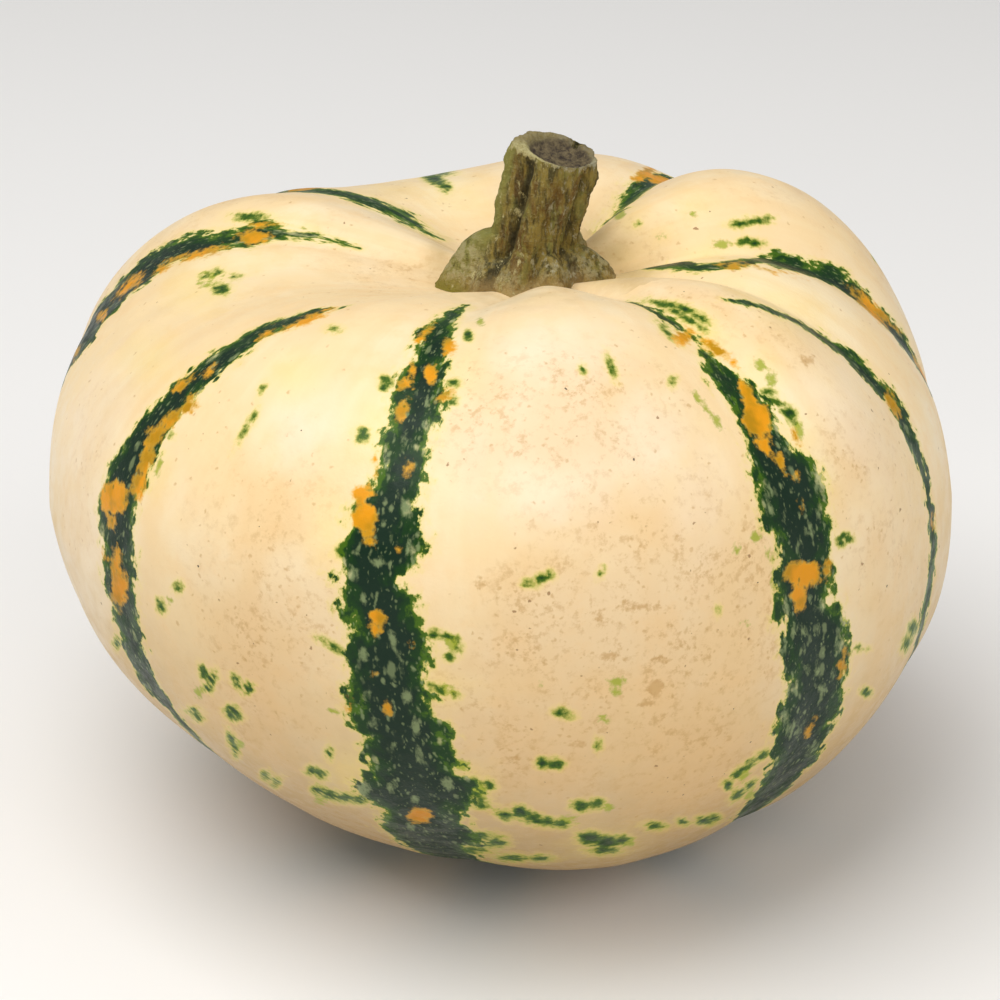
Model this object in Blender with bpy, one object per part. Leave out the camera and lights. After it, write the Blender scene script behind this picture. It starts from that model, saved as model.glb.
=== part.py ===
"""A small ornamental pumpkin: a ribbed, flattened fruit on a flat blossom end, and its cut stem.

The frame is +Z up with the origin in the middle of the footprint, on the surface it stands on.
Azimuth is counted from the front (-Y) towards the right (+X), latitude up from the fruit's middle.
"""
import math

import bmesh
import bpy
from mathutils import Vector

# Driving dimensions of the fruit, in metres
BODY_CENTRE = Vector((-0.0001, 0.0, 0.0490))
OUTLINE_STEP = 15
OUTLINE = (0.0291, 0.0327, 0.0400, 0.0500, 0.0576, 0.0624, 0.0628,
           0.0623, 0.0596, 0.0568, 0.0527, 0.0495, 0.0465)
OVAL_WIDTH = 0.047
GROOVE_DEPTH_TOP = 0.0052
GROOVE_DEPTH_MIDDLE = 0.0005
GROOVE_DEPTH_BOTTOM = 0.0014
LEAN_X = -0.087
LEAN_Y = -0.132
CAVITY_SHIFT_X = 0.0069
CAVITY_SHIFT_Y = -0.0058
BLOSSOM_SHIFT_X = 0.0026
FLAT_LATITUDE = -75

# Each lobe: azimuth in degrees of the groove before it, extra height of its shoulder, extra girth
LOBES = (
    (-11.0, -0.0002, -0.0001),
    (36.9, -0.0007, 0.0001),
    (65.1, -0.0020, 0.0001),
    (91.3, 0.0050, -0.0015),
    (142.1, -0.0012, -0.0003),
    (173.0, -0.0068, 0.0006),
    (224.4, -0.0021, 0.0024),
    (260.9, -0.0047, -0.0001),
    (312.2, -0.0019, -0.0007),
)

# Driving dimensions of the stem, in metres and degrees
STEM_LENGTH = 0.0190
STEM_LEAN_RIGHT = 12.5
STEM_LEAN_FORWARD = 5.0
STEM_SHIFT_X = -0.0015
STEM_RADIUS_MIDDLE = 0.0053
STEM_RADIUS_TOP = 0.0056
STEM_FLARE = 0.0053
FLARE_HEIGHT_SHARE = 0.42
RIDGE_COUNT = 5
RIDGE_PHASE = 28.0
RIDGE_HEIGHT = 0.09
CUT_RIM_SHARE = 0.74
CUT_DEPTH = 0.0014
SEAT_GAP = 0.0011

# Fineness of the faceted solids
COLUMNS_PER_LOBE = 10
ROW_STEP = 5
STEM_COLUMNS = 40
STEM_ROWS = 14
BISECTION_STEPS = 30


def outline_distance(latitude):
    """Distance of a lobe's crest from the body centre: a smooth curve through OUTLINE."""
    place = (90 - latitude) / OUTLINE_STEP
    low = min(int(place), len(OUTLINE) - 2)
    along = place - low

    def slope(knot):
        if knot in (0, len(OUTLINE) - 1):
            return 0.0
        return (OUTLINE[knot + 1] - OUTLINE[knot - 1]) / 2

    before, after = OUTLINE[low], OUTLINE[low + 1]
    square, cube = along ** 2, along ** 3
    return ((2 * cube - 3 * square + 1) * before + (cube - 2 * square + along) * slope(low)
            + (3 * square - 2 * cube) * after + (cube - square) * slope(low + 1))


def groove_depth(latitude):
    """Depth of the grooves: deep beside the stem, faint round the belly, gone at the two ends."""
    height = math.sin(math.radians(latitude))
    upper, lower = max(height, 0.0), max(-height, 0.0)
    depth = (GROOVE_DEPTH_MIDDLE + (GROOVE_DEPTH_TOP - GROOVE_DEPTH_MIDDLE) * upper
             + (GROOVE_DEPTH_BOTTOM - GROOVE_DEPTH_MIDDLE) * lower)
    return depth * (1 - (abs(latitude) / 90) ** 3)


def lobe_width(index):
    """Degrees from a lobe's groove to the next one."""
    following = LOBES[(index + 1) % len(LOBES)][0]
    return (following - LOBES[index][0]) % 360


def lobe_at(azimuth):
    """The lobe under an azimuth, and how far across it that azimuth lies, from 0 to 1."""
    for index, lobe in enumerate(LOBES):
        across = (azimuth - lobe[0]) % 360 / lobe_width(index)
        if across < 1:
            return lobe, across
    return LOBES[0], 0.0


def fruit_point(azimuth, latitude):
    """A point of the fruit's skin, in metres."""
    (_, shoulder, girth), across = lobe_at(azimuth)
    bulge = math.sin(math.pi * across)
    turn, tilt = math.radians(azimuth), math.radians(latitude)
    oval = 1 + OVAL_WIDTH * math.cos(2 * turn) * math.cos(tilt)
    distance = (outline_distance(latitude) * oval - groove_depth(latitude) * (1 - bulge)
                + shoulder * bulge * max(math.sin(2 * tilt), 0.0)
                + girth * bulge ** 2 * math.cos(tilt))
    reach, height = distance * math.cos(tilt), distance * math.sin(tilt)
    above, below = max(math.sin(tilt), 0.0) ** 2, min(math.sin(tilt), 0.0) ** 2
    return BODY_CENTRE + Vector((
        reach * math.sin(turn) + LEAN_X * height + CAVITY_SHIFT_X * above + BLOSSOM_SHIFT_X * below,
        -reach * math.cos(turn) + LEAN_Y * height + CAVITY_SHIFT_Y * above,
        height))


def make_material(name, colour, roughness):
    """A plain surface finish with one colour."""
    material = bpy.data.materials.new(name)
    material.use_nodes = True
    shader = material.node_tree.nodes["Principled BSDF"]
    shader.inputs["Base Color"].default_value = (*colour, 1.0)
    shader.inputs["Roughness"].default_value = roughness
    shader.inputs["Metallic"].default_value = 0.0
    return material


def add_object(name, mesh_builder, material, sharp_angle):
    """Put a finished body in the scene, shaded smooth up to the given edge angle."""
    bmesh.ops.recalc_face_normals(mesh_builder, faces=mesh_builder.faces)
    mesh = bpy.data.meshes.new(name)
    mesh_builder.to_mesh(mesh)
    mesh_builder.free()
    mesh.shade_smooth()
    mesh.set_sharp_from_angle(angle=math.radians(sharp_angle))
    mesh.materials.append(material)
    built = bpy.data.objects.new(name, mesh)
    bpy.context.scene.collection.objects.link(built)
    return built


def skin_rings(builder, rings):
    """Join rings of points, each the same length, with four-sided faces."""
    for upper, lower in zip(rings, rings[1:]):
        count = len(upper)
        for column in range(count):
            following = (column + 1) % count
            builder.faces.new((upper[column], lower[column], lower[following], upper[following]))


def fruit_azimuths():
    """Azimuths of the fruit's columns: one in each groove, the others spread over the lobes."""
    azimuths = []
    for index, lobe in enumerate(LOBES):
        step = lobe_width(index) / COLUMNS_PER_LOBE
        azimuths += [lobe[0] + step * column for column in range(COLUMNS_PER_LOBE)]
    return azimuths


def build_fruit():
    """The ribbed fruit: rings from the stem's cavity down to the flat it stands on."""
    builder = bmesh.new()
    azimuths = fruit_azimuths()
    latitudes = range(90 - ROW_STEP, FLAT_LATITUDE - 1, -ROW_STEP)
    rings = [[builder.verts.new(fruit_point(azimuth, latitude)) for azimuth in azimuths]
             for latitude in latitudes]
    for vertex in rings[-1]:
        vertex.co.z = 0.0
    skin_rings(builder, rings)
    builder.faces.new(rings[-1])
    pole = builder.verts.new(fruit_point(0.0, 90))
    top = rings[0]
    for column, vertex in enumerate(top):
        builder.faces.new((pole, vertex, top[(column + 1) % len(top)]))
    return add_object("fruit", builder, make_material("rind", (0.86, 0.74, 0.50), 0.32), 60)


def cavity_point(azimuth, reach):
    """The skin of the stem's cavity at a distance from its middle, lifted clear by the seat's gap."""
    centre = fruit_point(0.0, 90)
    near, far = 90.0, 30.0
    for _ in range(BISECTION_STEPS):
        middle = (near + far) / 2
        offset = fruit_point(azimuth, middle) - centre
        if math.hypot(offset.x, offset.y) < reach:
            near = middle
        else:
            far = middle
    return fruit_point(azimuth, near) + Vector((0.0, 0.0, SEAT_GAP))


def foot_point(azimuth, reach):
    """The cavity's skin under the stem's foot, at a distance from the foot's own middle."""
    turn = math.radians(azimuth)
    across, ahead = reach * math.sin(turn) + STEM_SHIFT_X, reach * math.cos(turn)
    return cavity_point(math.degrees(math.atan2(across, ahead)), math.hypot(across, ahead))


def ridge_share(azimuth):
    """How far round the stem's section stands out, from 1 on a ridge to -1 in a furrow."""
    return math.cos(math.radians(RIDGE_COUNT * (azimuth - RIDGE_PHASE)))


def stem_axes():
    """The stem's direction, and two directions across it, to the right and to the front."""
    lean_right, lean_forward = math.radians(STEM_LEAN_RIGHT), math.radians(STEM_LEAN_FORWARD)
    along = Vector((math.tan(lean_right), -math.tan(lean_forward), 1.0)).normalized()
    right = Vector((1.0, 0.0, 0.0)).cross(along).cross(along).normalized() * -1
    front = along.cross(right) * -1
    return along, right, front


def flare_share(share):
    """How much of the foot's flare is left at a share of the stem's length."""
    return max(1 - share / FLARE_HEIGHT_SHARE, 0.0) ** 2


def stem_radius(azimuth, share):
    """The stem's radius at an azimuth and a share of its length, from the foot to the cut."""
    shaft = STEM_RADIUS_MIDDLE + (STEM_RADIUS_TOP - STEM_RADIUS_MIDDLE) * share ** 2
    ridge = ridge_share(azimuth)
    toes = STEM_FLARE * flare_share(share) * (0.85 + 0.15 * ridge)
    return shaft * (1 + RIDGE_HEIGHT * ridge) + toes


def stem_point(azimuth, share, inward=1.0):
    """A point of the stem's bark, whose foot follows the floor of the cavity."""
    along, right, front = stem_axes()
    seat = fruit_point(0.0, 90) + Vector((STEM_SHIFT_X, 0.0, 0.0))
    turn = math.radians(azimuth)
    outward = right * math.sin(turn) + front * math.cos(turn)
    point = seat + along * (STEM_LENGTH * share) + outward * (stem_radius(azimuth, share) * inward)
    foot = foot_point(azimuth, stem_radius(azimuth, 0.0))
    settle = foot - (seat + outward * stem_radius(azimuth, 0.0))
    return point + settle * (1 - share) ** 2


def build_stem():
    """The cut stem: ridged shaft, foot that flares into toes, dished cut face."""
    builder = bmesh.new()
    azimuths = [360 / STEM_COLUMNS * column for column in range(STEM_COLUMNS)]
    along, _, _ = stem_axes()
    rings = []
    for inward in (0.35, 0.7):
        rings.append([foot_point(azimuth, stem_radius(azimuth, 0.0) * inward) for azimuth in azimuths])
    for row in range(STEM_ROWS + 1):
        share = (row / STEM_ROWS) ** 1.3
        rings.append([stem_point(azimuth, share) for azimuth in azimuths])
    rings.append([stem_point(azimuth, 1.0, CUT_RIM_SHARE) for azimuth in azimuths])
    floor = [stem_point(azimuth, 1.0, CUT_RIM_SHARE * 0.8) - along * CUT_DEPTH for azimuth in azimuths]
    rings.append(floor)
    loops = [[builder.verts.new(point) for point in ring] for ring in rings]
    skin_rings(builder, loops)
    for loop, centre in ((loops[0], foot_point(0.0, 0.0)),
                         (loops[-1], sum(floor, Vector()) / len(floor))):
        middle = builder.verts.new(centre)
        for column, vertex in enumerate(loop):
            builder.faces.new((middle, vertex, loop[(column + 1) % len(loop)]))
    return add_object("stem", builder, make_material("dry_stem", (0.30, 0.24, 0.12), 0.85), 50)


def main():
    for existing in list(bpy.data.objects):
        bpy.data.objects.remove(existing, do_unlink=True)
    build_fruit()
    build_stem()


main()
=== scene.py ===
"""The looks of a small ornamental pumpkin: waxy cream rind, striped grooves and a dry corky stem."""
import math

import bpy
import numpy as np
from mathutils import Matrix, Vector, noise


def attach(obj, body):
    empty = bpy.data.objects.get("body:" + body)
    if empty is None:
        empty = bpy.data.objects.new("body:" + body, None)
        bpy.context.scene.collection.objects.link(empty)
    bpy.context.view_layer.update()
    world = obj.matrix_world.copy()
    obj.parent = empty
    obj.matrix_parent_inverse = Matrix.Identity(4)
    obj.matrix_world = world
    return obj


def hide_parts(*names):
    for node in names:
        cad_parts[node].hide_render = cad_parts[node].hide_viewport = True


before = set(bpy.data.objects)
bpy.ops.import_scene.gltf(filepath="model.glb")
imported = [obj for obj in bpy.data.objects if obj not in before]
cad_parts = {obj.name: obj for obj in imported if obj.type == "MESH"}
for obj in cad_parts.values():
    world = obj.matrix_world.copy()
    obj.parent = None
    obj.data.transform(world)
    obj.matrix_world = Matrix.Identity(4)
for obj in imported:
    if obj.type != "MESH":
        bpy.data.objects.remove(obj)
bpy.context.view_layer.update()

# The photograph's frame and its camera
FRAME_PIXELS = 1000
SENSOR_WIDTH = 36.0
CAMERA_ELEVATION = 23.6
CAMERA_DISTANCE = 0.4108
CAMERA_FOCAL_PIXELS = 3042
CAMERA_TARGET = Vector((0.0, 0.0003, 0.0438))

# The fruit's form, in metres, as in the part's own source
BODY_CENTRE = np.array((-0.0001, 0.0, 0.0490))
OUTLINE_STEP = 15
OUTLINE = (0.0291, 0.0327, 0.0400, 0.0500, 0.0576, 0.0624, 0.0628,
           0.0623, 0.0596, 0.0568, 0.0527, 0.0495, 0.0465)
OVAL_WIDTH = 0.047
GROOVE_DEPTH_TOP = 0.0052
GROOVE_DEPTH_MIDDLE = 0.0005
GROOVE_DEPTH_BOTTOM = 0.0014
GROOVE_SOFTNESS = 0.07
LEAN_X = -0.087
LEAN_Y = -0.132
CAVITY_SHIFT_X = 0.0069
CAVITY_SHIFT_Y = -0.0058
BLOSSOM_SHIFT_X = 0.0026
FLAT_LATITUDE = -75
LOBES = (
    (-11.0, -0.0002, -0.0001),
    (36.9, -0.0007, 0.0001),
    (65.1, -0.0020, 0.0001),
    (91.3, 0.0050, -0.0015),
    (142.1, -0.0012, -0.0003),
    (173.0, -0.0068, 0.0006),
    (224.4, -0.0021, 0.0024),
    (260.9, -0.0047, -0.0001),
    (312.2, -0.0019, -0.0007),
)
BELLY_RADIUS_MM = 60.0

# The photograph's scale on the body, and how the skin behind a pixel is found, in pixels and metres
PIXELS_PER_MM = 7.7
NEAR_PIXELS = 5.0
OUT_OF_SIGHT_PIXELS = 1000
FAR_SIDE_GAP = 0.012

# A mark reaches this many metres plus this share of its half size from the place of its middle
MARK_REACH = 0.006
MARK_REACH_SHARE = 1.5
FAR_OUTSIDE_MM = -9.0
WIDEST_FIELD_MM = 12

# The stem's form, in metres and degrees, as in the part's own source
STEM_LENGTH = 0.0190
STEM_LEAN_RIGHT = 12.5
STEM_LEAN_FORWARD = 5.0
STEM_SHIFT = np.array((-0.0015, 0.0, 0.0))
STEM_RADIUS_MIDDLE = 0.0050
STEM_RADIUS_TOP = 0.0052
STEM_COLUMNS = 280
STEM_ROWS = 150
CUT_ROWS = 44
CUT_DEPTH = 0.0015
HOLLOW_SHIFT_MM = 0.8
HOLLOW_HALF_WIDTH_MM = 4.2
HOLLOW_HALF_DEPTH_MM = 5.0
FOOT_SINK = 0.0004
ABOVE_EVERYTHING = 0.2

# Ridges and furrows of the stem: azimuth, half width in degrees, height in millimetres
STEM_RIDGES = (
    (-76, 16, 0.70), (-54, 7, -0.20), (-37, 10, -1.15), (-8, 16, 0.45), (12, 6, -0.40), (27, 12, 0.45),
    (44, 6, -0.25), (56, 6, -0.80), (78, 13, 0.75), (98, 8, -0.6), (118, 15, 0.5), (146, 10, -0.9),
    (174, 16, 0.5), (200, 8, -0.4), (216, 11, 0.3), (240, 11, -1.0), (266, 10, 0.2),
)

# Toes of the foot: azimuth, half width in degrees, reach and height in millimetres
STEM_TOES = (
    (-86, 26, 4.1, 7.6), (-42, 15, 2.7, 4.8), (-13, 16, 1.5, 6.0), (32, 15, 2.4, 5.2), (78, 24, 4.9, 5.4),
    (122, 17, 1.8, 6.0), (175, 20, 2.4, 6.5), (222, 18, 2.2, 6.5),
)
TOE_ROUNDNESS = 2.8
TOE_FULLNESS = 0.62
FOOT_FLARE_MM = 1.9
FOOT_FLARE_HEIGHT_MM = 7.5

# Roughness of the stem, in millimetres: cork, broad lumps, torn rim and torn cut
CORK_MM = 0.22
LUMP_MM = 0.26
TORN_RIM_MM = 0.10
TORN_CUT_MM = 0.12
TORN_HOLLOW_MM = 0.26
RIM_LIP_MM = 0.16
ROUGH_RADIUS_MM = 6

# Unevenness of the fruit's skin, in metres, and its seeded waves
LUMP_HEIGHT = 0.00045
BAND_HEIGHT = 0.0007
LUMP_COUNT = 14
BAND_WAVES = (17, 23, 31, 44)
LUMP_SEED = 7
TOP_FADE_LATITUDE = 70
LOW_FADE_DEGREES = 14
SETTLE_DEGREES = 13
BLOSSOM_DIMPLE = 0.0011
BLOSSOM_MIDDLE = np.array((0, 0, 0.0009))

# Fineness of the fruit's skin: columns closer together on the side that faces the camera
SKIN_COLUMNS = 470
SKIN_ROWS = 200
UNDERSIDE_ROWS = 9
FRONT_AZIMUTH = 75
SIDE_AZIMUTH = 125
SIDE_DENSITY = 0.7
BACK_DENSITY = 0.5
DENSITY_BLEND = 15

# Stripes that the photograph shows: the two edges of each, as pixels from the stem downwards
STRIPE_EDGES = {
    0: (((465, 305), (444, 315), (426, 325), (416, 335), (417, 345), (408, 360), (400, 370), (397, 380),
         (393, 390), (391, 400), (389, 410), (386, 425), (382, 440), (379, 455), (377, 470), (368, 485),
         (354, 500), (351, 510), (347, 520), (344, 530), (340, 545), (336, 553), (338, 565), (338, 580),
         (340, 595), (344, 610), (346, 622), (353, 640), (345, 650), (346, 660), (349, 675), (341, 690),
         (344, 700), (347, 715), (352, 726), (363, 735), (362, 760), (364, 775), (354, 787), (368, 800),
         (382, 812), (382, 830), (396, 840), (406, 848)),
        ((470, 305), (461, 315), (456, 325), (454, 340), (450, 360), (446, 372), (450, 385), (448, 400),
         (442, 410), (438, 425), (436, 440), (428, 455), (426, 470), (427, 485), (424, 500), (421, 510),
         (420, 520), (422, 530), (428, 545), (429, 553), (418, 565), (408, 578), (414, 595), (420, 608),
         (422, 625), (434, 638), (435, 650), (429, 660), (425, 675), (428, 692), (430, 703), (438, 718),
         (450, 733), (449, 745), (458, 760), (460, 770), (476, 782), (482, 792), (478, 800), (466, 812),
         (462, 822), (480, 833), (488, 841), (472, 850))),
    1: (((626, 302), (650, 312), (664, 320), (683, 334), (694, 343), (699, 353), (704, 370), (715, 387),
         (732, 412), (740, 431), (747, 458), (756, 490), (763, 525), (780, 545), (781, 575), (775, 600),
         (777, 627), (783, 655), (784, 690), (777, 715), (772, 740), (769, 770), (757, 790), (738, 809)),
        ((628, 300), (650, 307), (664, 313), (684, 326), (697, 338), (707, 347), (722, 362), (741, 374),
         (753, 389), (765, 402), (775, 420), (790, 443), (803, 455), (816, 459), (825, 485), (829, 510),
         (831, 545), (834, 575), (836, 600), (849, 620), (848, 645), (847, 670), (847, 692), (841, 713),
         (828, 737), (815, 762))),
    2: (((720, 300), (734, 302), (766, 312), (791, 323), (826, 345), (849, 362), (868, 382), (883, 400),
         (890, 410), (903, 434), (915, 462), (923, 491), (929, 536), (929, 575), (922, 601)),
        ((720, 298), (734, 299), (766, 307), (791, 316), (826, 335), (849, 349), (868, 364), (885, 384),
         (895, 396), (913, 424), (925, 460), (932, 491), (938, 550), (933, 575), (928, 601))),
    3: (((647, 269), (665, 270), (695, 271), (722, 270), (747, 268), (762, 264), (781, 269), (799, 275),
         (822, 282), (839, 289), (866, 310), (890, 332), (905, 351), (916, 368)),
        ((647, 267), (665, 264), (695, 263), (718, 262), (745, 260), (760, 252), (781, 250), (799, 257),
         (818, 261), (832, 266), (853, 276), (866, 290), (878, 303), (890, 317), (901, 330), (914, 353))),
    4: (((617, 213), (630, 207), (640, 198), (648, 191)),
        ((616, 212), (619, 198), (630, 181), (642, 170), (650, 165))),
    6: (((438, 239), (418, 230), (390, 216), (360, 205), (312, 193)),
        ((438, 236), (412, 213), (388, 202), (355, 194), (310, 188))),
    7: (((360, 248), (337, 240), (317, 234), (281, 226), (262, 221), (250, 223), (232, 231), (205, 233),
         (178, 238), (160, 247), (143, 259), (130, 272), (117, 286), (105, 298), (95, 312), (84, 327),
         (72, 352)),
        ((360, 249), (337, 243), (317, 240), (281, 241), (250, 247), (235, 248), (215, 253), (195, 258),
         (174, 263), (156, 274), (143, 285), (129, 297), (115, 311), (105, 322), (94, 338), (82, 352),
         (70, 372))),
    8: (((352, 304), (331, 307), (310, 309), (290, 314), (260, 323), (245, 333), (231, 342), (215, 350),
         (200, 360), (189, 371), (176, 384), (164, 396), (152, 408), (139, 420), (128, 435), (118, 450),
         (110, 465), (102, 490), (97, 510), (98, 525), (101, 541), (103, 560), (102, 575), (108, 600),
         (113, 618), (122, 640), (133, 668), (149, 692), (168, 710)),
        ((352, 305), (331, 312), (310, 320), (285, 330), (265, 340), (250, 349), (235, 362), (220, 375),
         (205, 388), (193, 402), (182, 416), (170, 430), (158, 450), (150, 465), (146, 485), (138, 500),
         (134, 520), (136, 545), (136, 570), (137, 600), (140, 625), (150, 665), (168, 696), (182, 717))),
}

# Hidden parts of the stripes: latitude and half width, then how width and place waver, and the ends
STRIPE_HIDDEN_HALF_MM = ((-75, 3.2), (-50, 4.0), (-20, 3.6), (10, 3.0), (35, 2.2), (55, 1.0))
STRIPE_WIDTH_WAVER = 0.25
STRIPE_WIDTH_WAVE_DEGREES = 9.0
STRIPE_SWAY_MM = 1.2
STRIPE_SWAY_WAVE_DEGREES = 16.0
STRIPE_WIDTH_SEED = 40
STRIPE_SWAY_SEED = 60
STRIPE_END_LATITUDE = 60
STRIPE_END_TAPER = 0.8
STRIPE_BLEND_DEGREES = 18

# Marks on the rind are ovals of the photograph, in pixels: middle, width, height and any clockwise turn.
# Orange patches in the stripes
ORANGE_PATCHES = (
    (423, 336, 24, 8, -45), (449, 348, 16, 17), (431, 374, 14, 18), (404, 385, 16, 10, -15),
    (412, 371, 5, 18), (402, 410, 12, 24, 20), (446, 395, 20, 12, -25), (409, 467, 10, 19, 5),
    (376, 468, 7, 22), (362, 492, 23, 17), (365, 517, 29, 28), (370, 537, 13, 24), (398, 548, 5, 10),
    (379, 618, 22, 17), (376, 631, 12, 15), (412, 643, 7, 9), (373, 675, 10, 10), (349, 706, 9, 14),
    (388, 708, 7, 18), (419, 815, 26, 17), (682, 338, 20, 16, 20), (717, 350, 56, 12, 37),
    (757, 418, 29, 42, -17), (744, 392, 11, 26, -20), (690, 330, 16, 5, 30), (746, 393, 13, 30, -20),
    (763, 441, 13, 28, -10), (780, 461, 9, 25, -15), (796, 478, 9, 13), (801, 505, 7, 13),
    (797, 438, 10, 18, -20), (803, 574, 40, 27), (799, 596, 17, 30), (828, 571, 11, 22), (846, 650, 7, 13),
    (842, 668, 9, 20, 5), (809, 730, 5, 20, 25), (891, 402, 10, 34, -24), (933, 523, 4, 16),
    (735, 266, 30, 7), (773, 271, 52, 5, 12), (872, 308, 60, 12, 44), (917, 363, 6, 13, -25),
    (645, 173, 11, 40, 57), (677, 163, 10, 40, 78), (254, 237, 34, 15), (262, 225, 22, 4),
    (200, 254, 56, 9, -14), (163, 268, 22, 8, -28), (130, 285, 34, 10, -42), (102, 315, 14, 9, -50),
    (77, 352, 5, 14, 25), (308, 320, 52, 9, -24), (266, 334, 20, 7, -35), (210, 371, 18, 8, -35),
    (183, 383, 22, 11, -45), (188, 406, 26, 14, -42), (170, 421, 26, 15, -42), (154, 437, 24, 17, -48),
    (146, 460, 15, 34, 15), (138, 486, 15, 30, 5), (112, 521, 12, 16), (114, 497, 29, 35),
    (119, 588, 19, 44), (116, 562, 13, 28), (103, 553, 5, 11),
)

# Stray green marks beside the stripes
GREEN_MARKS = (
    (363, 433, 13, 9), (362, 440, 8, 5), (388, 381, 11, 7, 40), (383, 387, 7, 7), (454, 383, 9, 6),
    (453, 401, 9, 7), (468, 335, 8, 8, 30), (342, 552, 13, 12), (434, 634, 12, 8), (445, 637, 10, 6),
    (456, 640, 8, 8), (459, 648, 7, 9), (450, 657, 10, 6), (432, 687, 10, 7), (441, 690, 10, 6),
    (455, 695, 8, 5), (530, 583, 13, 8), (541, 579, 14, 8, -20), (550, 575, 8, 9), (601, 573, 5, 8, 30),
    (611, 367, 6, 16, -20), (583, 369, 5, 7, -20), (673, 382, 6, 8, 30), (221, 289, 14, 9),
    (207, 276, 7, 4), (217, 272, 7, 4), (236, 276, 6, 3), (250, 217, 24, 7), (178, 587, 8, 9),
    (162, 608, 7, 10), (159, 601, 5, 5), (204, 673, 7, 13, -20), (212, 680, 7, 13, 20), (209, 688, 8, 8),
    (236, 681, 7, 11, -30), (248, 689, 11, 9, -40), (230, 710, 12, 9), (235, 717, 12, 7), (193, 711, 10, 5),
    (199, 718, 8, 6), (232, 740, 6, 14, -20), (236, 752, 5, 7), (117, 643, 6, 9), (313, 771, 12, 8),
    (322, 775, 8, 6), (265, 775, 8, 7, -40), (276, 783, 9, 5, -40), (317, 790, 10, 8),
    (330, 795, 14, 8, 15), (345, 798, 16, 7), (384, 762, 7, 9), (360, 800, 14, 7), (329, 753, 5, 9),
    (560, 711, 12, 8), (568, 716, 9, 5), (543, 763, 12, 10), (557, 764, 13, 10), (598, 744, 5, 8),
    (489, 785, 11, 9), (468, 782, 16, 8), (474, 795, 18, 7), (482, 805, 12, 6), (505, 815, 16, 8, 20),
    (520, 812, 16, 11), (532, 818, 16, 9), (546, 822, 20, 8), (560, 824, 14, 6), (581, 806, 16, 9),
    (596, 804, 14, 9), (590, 838, 22, 12), (606, 842, 24, 12), (622, 840, 14, 8), (604, 850, 22, 7),
    (655, 826, 14, 6), (683, 822, 8, 5), (705, 821, 14, 7), (714, 818, 9, 5), (480, 836, 26, 6),
    (496, 843, 18, 7), (470, 850, 26, 5), (514, 858, 20, 5), (540, 858, 14, 4), (847, 537, 12, 9),
    (840, 541, 9, 10), (860, 648, 8, 4), (866, 692, 9, 8, 30), (739, 224, 13, 5), (754, 221, 16, 5),
    (766, 219, 8, 4), (744, 242, 12, 7), (755, 243, 12, 6), (768, 393, 12, 8), (777, 402, 8, 9),
    (789, 412, 12, 12), (794, 421, 8, 9), (685, 309, 20, 6, 22), (700, 317, 18, 6, 30),
    (668, 305, 26, 5, 10), (688, 319, 20, 5, 32), (676, 312, 14, 4, 25), (667, 332, 14, 4, 42),
    (699, 326, 12, 4, 35), (738, 773, 7, 13, 50), (728, 785, 9, 8, 30), (750, 764, 6, 14, 55),
    (762, 755, 6, 11, 50), (738, 795, 6, 12, 50), (750, 785, 5, 9, 50), (434, 179, 22, 9, 25),
    (446, 187, 9, 9, -50), (440, 173, 14, 4), (913, 628, 7, 12, 10), (907, 642, 6, 14, 20),
    (254, 417, 3, 7, 20), (245, 430, 3, 14, 30), (334, 329, 7, 3), (262, 389, 3, 5, 30), (171, 435, 5, 5),
    (638, 224, 3, 3), (319, 639, 5, 4), (326, 642, 4, 12, -60), (336, 648, 6, 14, -60), (718, 610, 3, 5),
)

# Paler lime marks
LIME_MARKS = (
    (697, 397, 5, 12, -35), (707, 409, 5, 13, -35), (717, 421, 6, 11, -35), (212, 275, 12, 5),
    (159, 466, 4, 11, 20), (170, 600, 5, 6), (199, 692, 8, 10), (334, 711, 8, 6), (746, 624, 7, 5),
    (737, 550, 6, 9), (756, 537, 10, 10), (540, 684, 6, 6), (617, 680, 14, 7), (616, 690, 9, 6),
    (601, 718, 9, 5), (606, 719, 8, 6), (450, 690, 14, 8), (452, 642, 14, 14), (479, 790, 16, 14),
    (462, 765, 12, 10), (568, 820, 14, 6), (608, 807, 10, 7), (627, 842, 14, 8), (480, 322, 6, 6),
    (744, 775, 8, 12, 50), (750, 795, 8, 10, 50), (759, 364, 12, 10), (772, 380, 10, 14), (798, 430, 8, 16),
    (619, 213, 10, 12, 30), (722, 244, 16, 8), (693, 213, 6, 4), (661, 236, 6, 4), (204, 284, 9, 4),
    (322, 800, 12, 6), (240, 745, 8, 8), (842, 625, 8, 20), (770, 556, 6, 10), (774, 580, 5, 12),
)

# Yellow glow on the rind
YELLOW_GLOWS = (
    (760, 375, 50, 50), (800, 440, 36, 50), (705, 330, 60, 34, 35), (700, 256, 60, 26), (630, 222, 40, 30),
    (200, 288, 70, 50), (225, 262, 90, 30), (150, 470, 40, 50), (462, 372, 40, 60), (372, 420, 40, 70),
    (455, 330, 40, 30), (330, 530, 40, 60), (690, 205, 30, 20), (662, 236, 30, 20), (440, 690, 60, 40),
    (470, 785, 50, 40), (350, 770, 50, 50), (820, 480, 30, 60), (290, 375, 60, 50), (150, 360, 60, 50),
    (395, 190, 60, 20), (270, 225, 60, 20), (600, 845, 80, 30), (450, 195, 70, 40), (780, 300, 120, 44, 25),
    (620, 258, 70, 40),
)

# Painted highlight: whiter rind where the broad highlight falls on the lobes
HIGHLIGHT_PLACES = (
    (555, 450, 160, 180), (480, 440, 60, 140), (640, 440, 110, 120), (300, 430, 60, 90, 30),
    (860, 430, 50, 140, -20), (90, 560, 60, 160), (80, 430, 50, 120, 20), (700, 500, 60, 120),
    (560, 365, 150, 100),
)

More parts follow.
